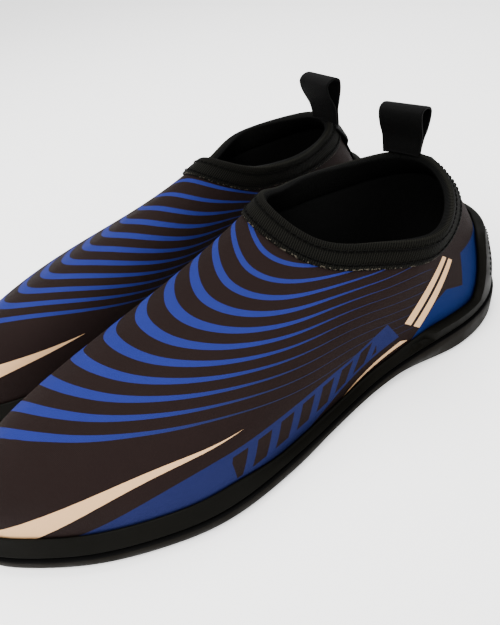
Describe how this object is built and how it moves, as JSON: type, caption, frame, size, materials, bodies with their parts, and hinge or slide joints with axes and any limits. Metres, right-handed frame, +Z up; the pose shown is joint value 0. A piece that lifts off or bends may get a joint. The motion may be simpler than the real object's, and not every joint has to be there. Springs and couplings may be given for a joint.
{
  "type": "pair of neoprene water boots",
  "caption": "Pair of low slip-on neoprene water boots with moulded rubber soles, a wrapped rubber heel guard, a bound ankle opening and a webbing pull tab on each heel.",
  "frame": {"origin": "centre of the pair's bounding box, on the ground under the soles", "axes": "+Z up, toes toward -Y, heels toward +Y, left boot on the +X side"},
  "size_m": [0.2132, 0.2959, 0.1088],
  "materials": {
    "sole_rubber": "matte moulded tread rubber",
    "sidewall_rubber": "satin moulded rubber",
    "neoprene_jersey": "printed nylon jersey on neoprene foam",
    "board_cloth": "felted board cloth",
    "footbed_foam": "cloth-topped foam",
    "binding_knit": "folded stretch knit",
    "webbing": "narrow woven webbing",
    "thread": "spun sewing thread"
  },
  "bodies": {
    "left_boot": {"left_outsole": "sole_rubber", "left_sidewall": "sidewall_rubber", "left_insole_board": "board_cloth", "left_footbed": "footbed_foam", "left_upper": "neoprene_jersey", "left_collar_binding": "binding_knit", "left_collar_stitch_high": "thread", "left_collar_stitch_low": "thread", "left_heel_tape": "webbing", "left_guard_stitch": "thread"},
    "right_boot": {"right_outsole": "sole_rubber", "right_sidewall": "sidewall_rubber", "right_insole_board": "board_cloth", "right_footbed": "footbed_foam", "right_upper": "neoprene_jersey", "right_collar_binding": "binding_knit", "right_collar_stitch_high": "thread", "right_collar_stitch_low": "thread", "right_heel_tape": "webbing", "right_guard_stitch": "thread"},
    "left_tab": {"left_pull_tab": "webbing"},
    "right_tab": {"right_pull_tab": "webbing"}
  },
  "joints": [
    {"name": "boots_apart", "type": "slide", "parent": "left_boot", "child": "right_boot", "axis": [-1, 0, 0], "range_m": [0, 0.15]},
    {"name": "left_tab_fold", "type": "hinge", "parent": "left_boot", "child": "left_tab", "pos_m": [0.031, 0.10795, 0.08443], "axis": [0.9511, 0.309, 0], "range_deg": [-60, 60], "stiffness_Nm_per_rad": 0.01},
    {"name": "right_tab_fold", "type": "hinge", "parent": "right_boot", "child": "right_tab", "pos_m": [-0.03729, 0.10994, 0.08443], "axis": [0.9774, 0.2113, 0], "range_deg": [-60, 60], "stiffness_Nm_per_rad": 0.01}
  ]
}
